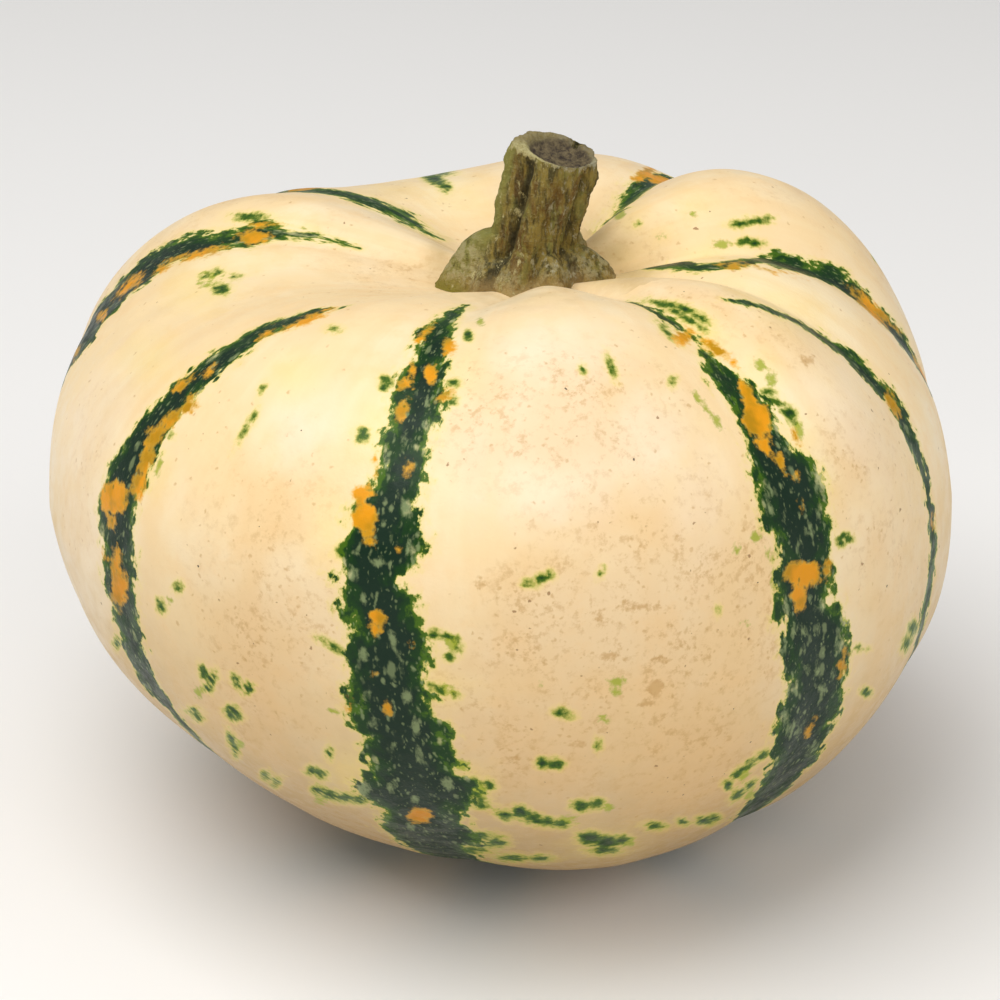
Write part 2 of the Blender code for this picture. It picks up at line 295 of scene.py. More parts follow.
# Where freckles and tan dirt lie thick
DIRTY_PLACES = (
    (690, 620, 260, 280), (590, 640, 260, 260), (640, 540, 260, 160), (530, 740, 240, 160),
    (680, 740, 220, 180), (270, 640, 160, 240), (290, 520, 100, 160), (860, 470, 80, 120),
    (560, 420, 260, 160), (880, 540, 60, 160), (90, 470, 40, 120), (200, 560, 60, 160),
    (730, 320, 160, 60, 20), (620, 250, 90, 70), (390, 270, 110, 40),
)

# Brown scurf patches
SCURF_PATCHES = (
    (593, 617, 22, 10), (656, 688, 20, 22), (645, 703, 24, 10), (610, 655, 26, 12), (515, 759, 9, 16, 60),
    (480, 583, 12, 18), (808, 360, 16, 12), (635, 605, 50, 10), (660, 660, 30, 10), (668, 622, 20, 8),
    (540, 662, 20, 8), (620, 385, 8, 10), (677, 398, 12, 5, 20), (858, 467, 14, 8),
)

# Grey tan stain of the rind beside the stem
STEM_STAINS = ((612, 252, 50, 40), (630, 275, 60, 30), (600, 238, 40, 40), (440, 255, 30, 40))

# Pale windows in the dark stripes
PALE_WINDOWS = (
    (404, 441, 6, 16, 5), (426, 424, 10, 10), (415, 445, 8, 10), (432, 430, 6, 14), (407, 508, 11, 19),
    (416, 534, 7, 8), (410, 548, 9, 17), (378, 562, 17, 10), (352, 573, 12, 15), (387, 460, 6, 20),
    (355, 551, 10, 8), (392, 639, 8, 14), (382, 591, 6, 10), (363, 599, 8, 12), (407, 697, 9, 14, -10),
    (368, 695, 8, 12), (415, 727, 10, 16, -10), (374, 722, 10, 12), (392, 710, 5, 14), (376, 734, 6, 8),
    (420, 756, 10, 16, -20), (447, 783, 12, 14, -30), (394, 749, 4, 14), (392, 786, 8, 14),
    (364, 790, 13, 18), (411, 827, 8, 10), (428, 832, 8, 6), (415, 800, 10, 12), (363, 654, 8, 12),
    (378, 662, 6, 10), (401, 664, 5, 14), (342, 559, 7, 7), (778, 429, 6, 18, -10), (768, 490, 8, 24, -10),
    (820, 480, 11, 34, -8), (784, 513, 5, 14), (820, 511, 7, 16), (810, 529, 7, 16), (770, 510, 7, 16, -10),
    (799, 544, 5, 16), (299, 234, 34, 4, 9), (216, 357, 16, 5, -40), (102, 532, 8, 14), (428, 402, 7, 14),
    (787, 450, 5, 12, -10), (749, 456, 5, 16, -10), (786, 609, 6, 18), (820, 607, 9, 14, 10),
    (800, 627, 5, 10), (818, 630, 6, 12), (792, 633, 4, 10), (805, 633, 4, 10), (805, 652, 4, 10),
    (806, 666, 4, 10), (841, 646, 10, 14), (845, 620, 8, 10), (818, 667, 6, 20), (783, 652, 7, 15),
    (822, 688, 8, 16), (832, 678, 5, 14), (796, 688, 6, 14), (792, 727, 7, 18, 20), (799, 730, 5, 14, 20),
    (784, 718, 6, 12, 10), (812, 748, 7, 15, 30), (787, 690, 6, 10),
)

# What the photograph hides is guessed: the highest latitude of each groove's hidden part, the lowest
# patch there, how many patches and marks there are, where, and how dirty the rind is
HIDDEN_GROOVES = {3: 22, 4: 46, 5: 58, 6: 44, 7: 2}
HIDDEN_LOWEST_PATCH = -52
HIDDEN_ORANGE_COUNT = 7
HIDDEN_ORANGE_SEED = 31
HIDDEN_MARK_COUNT = 90
HIDDEN_MARK_SEED = 32
HIDDEN_MARK_TOP = 38
HIDDEN_MARK_SPAN = 92
HIDDEN_FIRST_AZIMUTH = 98
HIDDEN_LAST_AZIMUTH = 256
HIDDEN_DIRT = 1.5
HIDDEN_CLEANER_ABOVE = 20

# Colours, as linear values
CREAM = (0.90, 0.695, 0.40)
CREAM_PALE = (0.92, 0.76, 0.50)
# Whiter cream of the painted highlight
HIGHLIGHT_CREAM = (0.93, 0.82, 0.65)
CREAM_WARM = (0.87, 0.60, 0.30)
# Beige of the painted shade that darkens the rind towards the underside
BEIGE_SHADE = (0.44, 0.285, 0.12)
TAN_WASH = (0.74, 0.46, 0.20)
YELLOW_TINT = (0.92, 0.75, 0.20)
LEMON = (0.82, 0.68, 0.16)
LIME = (0.31, 0.37, 0.015)
MID_GREEN = (0.055, 0.128, 0.006)
DARK_GREEN = (0.009, 0.042, 0.007)
BLUE_BLACK = (0.006, 0.023, 0.011)
FLECK_GREEN = (0.25, 0.31, 0.14)
WINDOW_CREAM = (0.60, 0.56, 0.28)
ORANGE = (0.76, 0.31, 0.006)
OCHRE = (0.46, 0.235, 0.004)
# Darker orange of the painted shade low on the fruit
SHADED_ORANGE = (0.44, 0.165, 0.003)
BLOSSOM_SCAR = (0.26, 0.17, 0.075)
AMBER_PALE = (0.86, 0.50, 0.05)
OLIVE_FLECK = (0.12, 0.14, 0.006)
TAN = (0.50, 0.28, 0.085)
BROWN = (0.25, 0.12, 0.04)
BLACK_SPECK = (0.03, 0.022, 0.015)
STEM_STAIN = (0.50, 0.36, 0.15)
STEM_DARK_OLIVE = (0.085, 0.070, 0.020)
STEM_OLIVE = (0.31, 0.23, 0.050)
STEM_BROWN = (0.165, 0.080, 0.016)
STEM_GREY = (0.38, 0.33, 0.16)
STEM_GREEN = (0.29, 0.285, 0.070)
STEM_CORK = (0.46, 0.40, 0.20)
# Near-black painted shade in the stem's furrows
STEM_FURROW_SHADE = (0.035, 0.032, 0.014)
STEM_FOOT = (0.42, 0.27, 0.09)
STEM_TOE_END = (0.23, 0.20, 0.020)
STEM_RIM_YELLOW = (0.56, 0.50, 0.24)
STEM_RIM_GREY = (0.45, 0.42, 0.28)
STEM_RIM_BROWN = (0.24, 0.19, 0.09)
STEM_PITH = (0.23, 0.18, 0.095)
STEM_PITH_DARK = (0.06, 0.045, 0.034)
FLOOR_LIGHT = (0.90, 0.90, 0.90)
FLOOR_DARK = (0.86, 0.86, 0.86)
ROOM = (1.0, 0.99, 0.97, 1.0)

# Noises of the materials: scale per millimetre, detail and roughness
BROAD_TONES = (0.055, 3, 0.6)
MOTTLE = (0.20, 4, 0.65)
LENGTHWISE_BANDS = (0.16, 3, 0.6)
DIRT_CLOUDS = (0.12, 3, 0.6)
FRECKLE_CLOUDS = (0.17, 3, 0.6)
SMEARS = (0.85, 4, 0.7)
GREEN_CLUMPS = (0.38, 2, 0.5)
GREEN_CRUMBS = (1.05, 3, 0.6)
GREEN_TONES = (0.34, 3)
FLECK_CLOUDS = (0.5, 2)
WINDOW_EDGES = (1.2, 3, 0.6)
MARK_EDGES = (1.0, 3, 0.6)
ORANGE_EDGES = (0.75, 3, 0.6)
ORANGE_TONES = (0.30, 2)
SCAR_EDGES = (0.9, 3, 0.6)
PORES = (1.6, 3, 0.6)
WAX_BLOOM = (0.28, 4, 0.7)
BARK_STREAKS = (1.3, 4, 0.65)
BARK_TONES = (0.35, 3, 0.6)
BARK_MOSS = (0.8, 3, 0.6)
BARK_FLAKES = (0.9, 4, 0.7)
BARK_CRUMBS = (2.2, 4, 0.7)
CUT_FIBRES = (1.1, 5, 0.75)
RIM_SHREDS = (1.0, 4, 0.7)

# Dots of the materials: cells per millimetre, largest size in cells, softness
TAN_DOTS = (0.95, 0.36, 0.24)
BROWN_DOTS = (0.55, 0.16, 0.07)
BLACK_DOTS = (0.40, 0.075, 0.02)
FINE_FLECKS = (2.3, 0.44, 0.30)
FLECKS = (1.40, 0.50, 0.34)
WINDOWS = (0.62, 0.40, 0.20)
OLIVE_DOTS = (1.0, 0.30, 0.20)

# Lights: place in metres, size, power, colour
LIGHTS = {
    "key": ((-0.32, -0.31, 1.00), 0.9, 9.3, (1.0, 0.98, 0.95)),
    "fill": ((0.9, -0.7, 0.6), 1.0, 3.6, (1.0, 0.98, 0.96)),
    "front": ((0.12, -0.95, 0.85), 0.35, 1.3, (1.0, 0.99, 0.98)),
}
ROOM_STRENGTH = 0.36
FLOOR_HALF = 3.0
FLOOR_DROP = 0.0002
FLOOR_ROUGHNESS = 0.9
FLOOR_SPECULAR = 0.5
FLOOR_GRAIN = (14.0, 4)

# Gloss of the pieces, and the height of their finest relief in metres
RIND_SPECULAR = 0.17
RIND_BUMP = 0.00005
STEM_ROUGHNESS = 0.82
STEM_SPECULAR = 0.3
STEM_BUMP = 0.00035


# Form of the fruit

def outline_distance(latitudes):
    """Distance of the lobes' crests from the body centre: a smooth curve through OUTLINE."""
    knots = np.array(OUTLINE)
    slopes = np.gradient(knots)
    slopes[0] = slopes[-1] = 0.0
    place = (90 - latitudes) / OUTLINE_STEP
    low = np.clip(place.astype(int), 0, len(knots) - 2)
    along = place - low
    square, cube = along ** 2, along ** 3
    return ((2 * cube - 3 * square + 1) * knots[low] + (cube - 2 * square + along) * slopes[low]
            + (3 * square - 2 * cube) * knots[low + 1] + (cube - square) * slopes[low + 1])


def groove_depth(latitudes):
    """Depth of the grooves: deep beside the stem, faint round the belly, gone at the two ends."""
    height = np.sin(np.radians(latitudes))
    upper, lower = np.maximum(height, 0), np.maximum(-height, 0)
    depth = (GROOVE_DEPTH_MIDDLE + (GROOVE_DEPTH_TOP - GROOVE_DEPTH_MIDDLE) * upper
             + (GROOVE_DEPTH_BOTTOM - GROOVE_DEPTH_MIDDLE) * lower)
    return depth * (1 - (np.abs(latitudes) / 90) ** 3)


def lobes_at(azimuths):
    """Shoulder, girth and place across the lobe under each azimuth."""
    starts = np.array([lobe[0] for lobe in LOBES])
    widths = (np.roll(starts, -1) - starts) % 360
    across = (azimuths[..., None] - starts) % 360 / widths
    index = np.argmin(np.where(across < 1, across, 9.0), axis=-1)
    place = np.take_along_axis(across, index[..., None], axis=-1)[..., 0]
    shoulders = np.array([lobe[1] for lobe in LOBES])
    girths = np.array([lobe[2] for lobe in LOBES])
    return shoulders[index], girths[index], place


def soft_bulge(place):
    """A lobe's swelling from 0 in the groove to 1 on the crest, with a softened crease."""
    wave = np.hypot(np.sin(np.pi * place), GROOVE_SOFTNESS)
    return (wave - GROOVE_SOFTNESS) / (math.hypot(1, GROOVE_SOFTNESS) - GROOVE_SOFTNESS)


def fruit_points(azimuths, latitudes):
    """Points of the fruit's skin, in metres."""
    shoulders, girths, place = lobes_at(azimuths)
    bulge = soft_bulge(place)
    turn, tilt = np.radians(azimuths), np.radians(latitudes)
    oval = 1 + OVAL_WIDTH * np.cos(2 * turn) * np.cos(tilt)
    distance = (outline_distance(latitudes) * oval - groove_depth(latitudes) * (1 - bulge)
                + shoulders * bulge * np.maximum(np.sin(2 * tilt), 0)
                + girths * np.sin(np.pi * place) ** 2 * np.cos(tilt))
    reach, height = distance * np.cos(tilt), distance * np.sin(tilt)
    above, below = np.maximum(np.sin(tilt), 0) ** 2, np.minimum(np.sin(tilt), 0) ** 2
    shift_x = LEAN_X * height + CAVITY_SHIFT_X * above + BLOSSOM_SHIFT_X * below
    shift_y = LEAN_Y * height + CAVITY_SHIFT_Y * above
    across, ahead = reach * np.sin(turn) + shift_x, -reach * np.cos(turn) + shift_y
    return np.stack((across, ahead, height + 0 * turn), axis=-1) + BODY_CENTRE


def cavity_middle():
    """The middle of the cavity beside the stem."""
    return fruit_points(np.zeros(1), np.full(1, 90.0))


# Objects and meshes

def add_object(name, data):
    """A new object in the scene."""
    made = bpy.data.objects.new(name, data)
    bpy.context.scene.collection.objects.link(made)
    return made


def aim(thing, place):
    """Put a camera or light at a place and turn it to the fruit's middle."""
    thing.location = place
    thing.rotation_mode = "QUATERNION"
    thing.rotation_quaternion = (CAMERA_TARGET - Vector(place)).to_track_quat("-Z", "Y")


def grid_faces(rows, columns):
    """Four-sided faces of a closed band of rows by columns."""
    row, column = np.meshgrid(np.arange(rows - 1), np.arange(columns), indexing="ij")
    following = (column + 1) % columns
    here, below = row * columns, (row + 1) * columns
    return np.stack((here + column, below + column, below + following, here + following), -1).reshape(-1, 4)


def make_piece(name, points, quads, fans):
    """A smooth mesh object; each fan closes a ring of point numbers with one middle point."""
    faces = [tuple(quad) for quad in quads.tolist()]
    for ring, middle, flip in fans:
        for one, two in zip(ring, ring[1:] + ring[:1]):
            faces.append((middle, two, one) if flip else (middle, one, two))
    mesh = bpy.data.meshes.new(name)
    mesh.from_pydata(points.tolist(), [], faces)
    mesh.validate()
    mesh.shade_smooth()
    return add_object(name, mesh)


def add_field(piece, name, values):
    """Store one number or one vector for each point of a mesh."""
    kind = "FLOAT_VECTOR" if values.ndim == 2 else "FLOAT"
    layer = piece.data.attributes.new(name, kind, "POINT")
    layer.data.foreach_set("vector" if values.ndim == 2 else "value", values.astype(np.float32).ravel())


# Camera

def camera_axes():
    """The camera's backward and upward directions."""
    tilt = math.radians(CAMERA_ELEVATION)
    back = Vector((0, -math.cos(tilt), math.sin(tilt)))
    up = Vector((0, math.sin(tilt), math.cos(tilt)))
    return back, up


def make_camera():
    """The photograph's viewpoint."""
    back, _ = camera_axes()
    camera = add_object("camera", bpy.data.cameras.new("camera"))
    aim(camera, CAMERA_TARGET + back * CAMERA_DISTANCE)
    camera.data.sensor_width = SENSOR_WIDTH
    camera.data.lens = SENSOR_WIDTH * CAMERA_FOCAL_PIXELS / FRAME_PIXELS
    camera.data.clip_start = 0.01
    camera.data.clip_end = 20.0
    bpy.context.scene.camera = camera


def pixels_of(points):
    """Where points appear in the photograph's frame, and how far each lies from the camera."""
    back, up = (np.array(axis) for axis in camera_axes())
    seen = points - (np.array(CAMERA_TARGET) + back * CAMERA_DISTANCE)
    depth = -(seen @ back)
    half = FRAME_PIXELS / 2
    across = half + CAMERA_FOCAL_PIXELS * seen[..., 0] / depth
    down = half - CAMERA_FOCAL_PIXELS * (seen @ up) / depth
    return np.stack((across, down), axis=-1), depth


class SkinMap:
    """Finds the place on the fruit's skin that shows at a pixel of the photograph."""

    def __init__(self, azimuths, latitudes, points, facing):
        self.azimuths, self.latitudes, self.points = azimuths, latitudes, points
        self.pixels, self.depth = pixels_of(points)
        self.facing = facing

    def find(self, pixel):
        """Number of the nearest visible skin point."""
        gap = np.hypot(*(self.pixels - np.array(pixel)).T)
        score = np.where(self.facing, gap, gap + OUT_OF_SIGHT_PIXELS)
        close = score < score.min() + NEAR_PIXELS
        hidden = self.depth > self.depth[close].min() + FAR_SIDE_GAP
        return int(np.argmin(score + np.where(hidden, OUT_OF_SIGHT_PIXELS, 0)))


# Fields that colour the skin

def turn_between(azimuths, middle):
    """Signed degrees from one azimuth to others."""
    return (azimuths - middle + 180) % 360 - 180


def smooth_step(low, high, values):
    """A soft rise from 0 to 1 between two limits."""
    share = np.clip((values - low) / (high - low), 0, 1)
    return share * share * (3 - 2 * share)


def wobble(seed, values, waves=5, height=0.6):
    """A repeatable smooth curve around zero, about one unit high."""
    draw = np.random.default_rng(seed)
    total = np.zeros_like(values)
    for wave in range(1, waves + 1):
        total += draw.normal() / wave * np.sin(values * wave + draw.uniform(0, 2 * np.pi))
    return total * height


def edge_curve(skin, pixels, groove):
    """One edge of a stripe as latitudes and degrees from its groove, in rising latitude."""
    numbers = [skin.find(pixel) for pixel in pixels]
    latitudes = skin.latitudes[numbers]
    turns = turn_between(skin.azimuths[numbers], groove)
    order = np.argsort(latitudes)
    return latitudes[order], turns[order]


def stripe_distance(skin, index, reach_mm):
    """Millimetres inside a stripe's edge, negative outside it."""
    groove = LOBES[index][0]
    turns = turn_between(skin.azimuths, groove)
    latitudes = skin.latitudes
    per_degree = np.radians(1) * reach_mm
    widths = np.array(STRIPE_HIDDEN_HALF_MM)
    half = np.interp(latitudes, widths[:, 0], widths[:, 1])
    waver = wobble(STRIPE_WIDTH_SEED + index, latitudes / STRIPE_WIDTH_WAVE_DEGREES)
    half = half * (1 + STRIPE_WIDTH_WAVER * waver)
    sway = STRIPE_SWAY_MM * wobble(STRIPE_SWAY_SEED + index, latitudes / STRIPE_SWAY_WAVE_DEGREES)
    low_turn, high_turn = (sway - half) / per_degree, (sway + half) / per_degree
    top = STRIPE_END_LATITUDE
    if index in STRIPE_EDGES:
        curves = [edge_curve(skin, pixels, groove) for pixels in STRIPE_EDGES[index]]
        first, second = sorted(curves, key=lambda curve: np.median(curve[1]))
        lowest = max(first[0][0], second[0][0])
        top = max(first[0][-1], second[0][-1])
        shown = smooth_step(lowest - STRIPE_BLEND_DEGREES, lowest, latitudes)
        low_turn = low_turn * (1 - shown) + np.interp(latitudes, *first) * shown
        high_turn = high_turn * (1 - shown) + np.interp(latitudes, *second) * shown
    inside = np.minimum(turns - low_turn, high_turn - turns) * per_degree
    return inside - np.maximum(latitudes - top, 0) * STRIPE_END_TAPER


def oval_field(skin, ovals):
    """Millimetres inside the nearest of some ovals of the photograph, negative outside them."""
    field = np.full(len(skin.points), FAR_OUTSIDE_MM)
    for across, down, width, height, *turned in ovals:
        centre = skin.points[skin.find((across, down))]
        turn = math.radians(sum(turned))
        offset = skin.pixels - np.array((across, down))
        right = offset @ np.array((math.cos(turn), math.sin(turn))) / (width / 2)
        upward = offset @ np.array((math.sin(turn), -math.cos(turn))) / (height / 2)
        inside = (1 - np.hypot(right, upward)) * min(width, height) / 2 / PIXELS_PER_MM
        reach = MARK_REACH + MARK_REACH_SHARE * max(width, height) / 2 / PIXELS_PER_MM / 1000
        near = np.linalg.norm(skin.points - centre, axis=-1) < reach
        field = np.where(near, np.maximum(field, inside), field)
    return field


def patch_field(skin, reach_mm, patches):
    """Millimetres inside the nearest patch: azimuth, latitude, half width and half height of each."""
    field = np.full(len(skin.points), FAR_OUTSIDE_MM)
    per_degree = np.radians(1)
    for azimuth, latitude, half_width, half_height in patches:
        across = turn_between(skin.azimuths, azimuth) * per_degree * reach_mm / half_width
        along = (skin.latitudes - latitude) * per_degree * BELLY_RADIUS_MM / half_height
        field = np.maximum(field, (1 - np.hypot(across, along)) * min(half_width, half_height))
    return field


def hidden_orange():
    """Guessed orange patches down the hidden stripes."""
    draw = np.random.default_rng(HIDDEN_ORANGE_SEED)
    patches = []
    for groove, highest in HIDDEN_GROOVES.items():
        for latitude in np.linspace(highest - 6, HIDDEN_LOWEST_PATCH, HIDDEN_ORANGE_COUNT):
            azimuth = LOBES[groove][0] + draw.uniform(-1.4, 1.4)
            latitude = latitude + draw.uniform(-5, 5)
            patches.append((azimuth, latitude, draw.uniform(0.8, 2.0), draw.uniform(1.2, 4.5)))
    return patches


def hidden_marks():
    """Guessed stray marks of the hidden side, most of them low on the lobes."""
    draw = np.random.default_rng(HIDDEN_MARK_SEED)
    return [(draw.uniform(HIDDEN_FIRST_AZIMUTH, HIDDEN_LAST_AZIMUTH),
             HIDDEN_MARK_TOP - HIDDEN_MARK_SPAN * draw.uniform() ** 0.6,
             draw.uniform(0.35, 1.2), draw.uniform(0.35, 1.1)) for _ in range(HIDDEN_MARK_COUNT)]


def hidden_dirt(skin):
    """Guessed dirt of the hidden side."""
    away = np.abs(turn_between(skin.azimuths, 180))
    higher = np.maximum(skin.latitudes - HIDDEN_CLEANER_ABOVE, 0)
    return HIDDEN_DIRT - 11 * smooth_step(70, 100, away) - 0.10 * higher


# Fruit piece

def skin_azimuths():
    """Azimuths of the skin's columns, closest together in front."""
    fine = np.linspace(-180, 180, 3601)
    away = np.abs(fine)
    to_side = smooth_step(FRONT_AZIMUTH - DENSITY_BLEND, FRONT_AZIMUTH + DENSITY_BLEND, away)
    to_back = smooth_step(SIDE_AZIMUTH - DENSITY_BLEND, SIDE_AZIMUTH + DENSITY_BLEND, away)
    density = 1 - (1 - SIDE_DENSITY) * to_side
    density = density - (SIDE_DENSITY - BACK_DENSITY) * to_back
    total = np.concatenate(([0], np.cumsum((density[1:] + density[:-1]) / 2)))
    shares = np.arange(SKIN_COLUMNS) / SKIN_COLUMNS
    return np.interp(shares * total[-1], total, fine)


def skin_lumps(azimuths, latitudes):
    """Shallow unevenness of the grown skin, in metres: broad dents and faint lengthwise bands."""
    draw = np.random.default_rng(LUMP_SEED)
    turn, tilt = np.radians(azimuths), np.radians(latitudes)
    direction = np.stack((np.cos(tilt) * np.sin(turn), -np.cos(tilt) * np.cos(turn), np.sin(tilt)), -1)
    total = np.zeros(np.shape(azimuths))
    for _ in range(LUMP_COUNT):
        way = draw.normal(size=3)
        waves = draw.uniform(7, 16)
        way = way / np.linalg.norm(way) * waves
        total += np.sin(direction @ way + draw.uniform(0, 2 * np.pi)) * 0.9 / waves
    bands = np.zeros(np.shape(azimuths))
    for count in BAND_WAVES:
        sway = 0.25 * np.sin(tilt * 3 + draw.uniform(0, 6))
        bands += np.sin(count * turn + sway * count * 0.2 + draw.uniform(0, 2 * np.pi)) / count
    return total * LUMP_HEIGHT + bands * np.cos(tilt) * BAND_HEIGHT


def skin_grid():
    """Azimuth, latitude and place of every skin point, in rows from the cavity to the underside."""
    azimuths = skin_azimuths()
    latitudes = np.linspace(90, FLAT_LATITUDE, SKIN_ROWS + 1)[1:]
    azimuth, latitude = np.meshgrid(azimuths, latitudes)
    points = fruit_points(azimuth, latitude)
    outward = points - BODY_CENTRE
    outward /= np.linalg.norm(outward, axis=-1, keepdims=True)
    top_fade = smooth_step(90, TOP_FADE_LATITUDE, latitude)
    edge_fade = top_fade * smooth_step(FLAT_LATITUDE, FLAT_LATITUDE + LOW_FADE_DEGREES, latitude)
    points = points + outward * (skin_lumps(azimuth, latitude) * edge_fade)[..., None]
    settle = smooth_step(FLAT_LATITUDE + SETTLE_DEGREES, FLAT_LATITUDE, latitude)
    points[..., 2] -= points[-1, :, 2] * settle
    return azimuth, latitude, points


def underside_rows(rim):
    """Rings that close the flat underside, with a shallow dimple at the blossom end."""
    middle = rim.mean(axis=0)
    rings = []
    for row in range(1, UNDERSIDE_ROWS + 1):
        share = 1 - row / (UNDERSIDE_ROWS + 1)
        ring = middle + (rim - middle) * share
        ring[:, 2] = BLOSSOM_DIMPLE * (1 - smooth_step(0.25, 0.85, share))
        rings.append(ring)
    return rings, middle + BLOSSOM_MIDDLE


def turned_to_camera(piece, points):
    """Which points of a piece are turned to the camera."""
    normals = np.zeros(len(points) * 3)
    piece.data.vertex_normals.foreach_get("vector", normals)
    back, _ = camera_axes()
    eye = np.array(CAMERA_TARGET + back * CAMERA_DISTANCE)
    return np.sum((eye - points) * normals.reshape(-1, 3), axis=-1) > 0


def add_rind_fields(piece, skin):
    """Store what the rind's material reads with each point of the skin."""
    reach_mm = np.hypot(*(skin.points - BODY_CENTRE)[:, :2].T).clip(0.003) * 1000
    stripes = np.max([stripe_distance(skin, index, reach_mm) for index in range(len(LOBES))], axis=0)
    add_field(piece, "stripe", np.clip(stripes, -WIDEST_FIELD_MM, WIDEST_FIELD_MM))
    fields = {"orange": ORANGE_PATCHES, "mark": GREEN_MARKS, "lime": LIME_MARKS, "glow": YELLOW_GLOWS,
              "dirt": DIRTY_PLACES, "scurf": SCURF_PATCHES, "stain": STEM_STAINS, "window": PALE_WINDOWS,
              "highlight": HIGHLIGHT_PLACES}
    guesses = {"orange": patch_field(skin, reach_mm, hidden_orange()), "dirt": hidden_dirt(skin),
               "mark": patch_field(skin, reach_mm, hidden_marks())}
    for name, ovals in fields.items():
        add_field(piece, name, np.maximum(oval_field(skin, ovals), guesses.get(name, FAR_OUTSIDE_MM)))
    turn = np.radians(skin.azimuths)
    flow = np.stack((np.sin(turn), np.cos(turn), np.radians(skin.latitudes)), -1)
    add_field(piece, "flow", BELLY_RADIUS_MM * flow)
    add_field(piece, "latitude", skin.latitudes)


def build_fruit():
    """The fine skin of the fruit, with the fields that its material reads."""
    azimuth, latitude, points = skin_grid()
    rows, columns = azimuth.shape
    under, scar = underside_rows(points[-1])
    body = np.concatenate([points.reshape(-1, 3), *under])
    everything = np.concatenate((body, cavity_middle(), scar[None]))
    total_rows = rows + len(under)
    quads = grid_faces(total_rows, columns)
    last = (total_rows - 1) * columns
    fans = (([*range(columns)], len(body), False), ([*range(last, last + columns)], len(body) + 1, True))
    piece = make_piece("fruit_skin", everything, quads, fans)

    under_latitudes = [np.full(columns, FLAT_LATITUDE - row - 1.0) for row in range(len(under))]
    all_latitudes = np.concatenate([latitude.ravel(), *under_latitudes, [90.0, -90.0]])
    all_azimuths = np.concatenate([azimuth.ravel(), *[azimuth[0]] * len(under), [0.0, 0.0]])
    skin = SkinMap(all_azimuths, all_latitudes, everything, turned_to_camera(piece, everything))
    add_rind_fields(piece, skin)
    return piece


# Stem piece

def bell(azimuths, middle, half_width):
    """A smooth bump round the stem: 1 at its middle, small beyond its half width."""
    return np.exp(-(turn_between(azimuths, middle) / half_width) ** 2)


def stem_seat():
    """The middle of the stem's foot."""
    return cavity_middle()[0] + STEM_SHIFT


def stem_axes():
    """The stem's direction, and two directions across it, to the right and to the front."""
    lean_right, lean_forward = math.radians(STEM_LEAN_RIGHT), math.radians(STEM_LEAN_FORWARD)
    along = np.array((math.tan(lean_right), -math.tan(lean_forward), 1.0))
    along /= np.linalg.norm(along)
    right = np.cross((0.0, 1.0, 0.0), along)
    right /= np.linalg.norm(right)
    return along, right, np.cross(right, along)


def ridge_relief(azimuths):
    """How far ridges stand out and furrows cut in, in millimetres."""
    return sum(height * bell(azimuths, middle, half) for middle, half, height in STEM_RIDGES)


def toe_relief(azimuths, heights_mm):
    """How far the foot's toes and flare reach beyond the shaft, in millimetres."""
    total = FOOT_FLARE_MM * np.clip(1 - heights_mm / FOOT_FLARE_HEIGHT_MM, 0, 1) ** 2
    for middle, half, reach, height in STEM_TOES:
        level = np.clip(heights_mm / height, 0, 1)
        profile = (1 - level ** TOE_ROUNDNESS) ** TOE_FULLNESS
        total = total + reach * profile * bell(azimuths, middle, half)
    return total


def rough(points_mm, seed, detail=5):
    """Repeatable roughness around zero at points in millimetres."""
    offset = Vector((seed * 17.3, seed * 5.1, seed * 9.7))
    return np.array([noise.fractal(Vector(point) + offset, 0.7, 2.1, detail) for point in points_mm])


def rough_ring(turns, fineness, height, seed, detail=5):
    """The roughness round the stem at one height."""
    reach = ROUGH_RADIUS_MM * fineness
    return rough([(math.sin(turn) * reach, math.cos(turn) * reach, height) for turn in turns], seed, detail)


def foot_settling(fruit, foot):
    """How far each point of the foot's outline moves to lie on the fruit's skin."""
    settled = foot.copy()
    for point in settled:
        _, where, _, _ = fruit.ray_cast(Vector((point[0], point[1], ABOVE_EVERYTHING)), Vector((0, 0, -1)))
        point[2] = where.z - FOOT_SINK
    return settled - foot


def stem_bark(azimuths, fruit):
    """Rings of the stem's bark from the foot to the rim, and their heights in millimetres."""
    along, right, front = stem_axes()
    seat = stem_seat()
    turn = np.radians(azimuths)
    outward = np.sin(turn)[:, None] * right + np.cos(turn)[:, None] * front
    heights = STEM_LENGTH * 1000 * (np.arange(STEM_ROWS + 1) / STEM_ROWS) ** 1.1
    relief = ridge_relief(azimuths)
    foot_reach = (STEM_RADIUS_MIDDLE * 1000 + relief + toe_relief(azimuths, np.zeros(len(azimuths)))) / 1000
    settle = foot_settling(fruit, seat + outward * foot_reach[:, None])
    rings = []
    for height in heights:
        share = height / heights[-1]
        shaft = (STEM_RADIUS_MIDDLE + (STEM_RADIUS_TOP - STEM_RADIUS_MIDDLE) * share ** 2) * 1000
        reach = shaft + relief + toe_relief(azimuths, np.full(len(azimuths), height))
        cork = CORK_MM * rough_ring(turn, 1.3, height * 0.35, 1)
        lump = LUMP_MM * rough_ring(turn, 0.5, height * 0.4, 2, 3)
        torn = TORN_RIM_MM * rough_ring(turn, 1.0, height, 3)
        near_rim = smooth_step(0.88, 1.0, share)
        reach = reach - 0.6 * relief * near_rim + cork + lump * (1 - near_rim) + torn * near_rim
        ring = seat + along * (height / 1000) + outward * (reach / 1000)[:, None]
        rings.append(ring + settle * (1 - share) ** 2)
    return rings, heights, relief


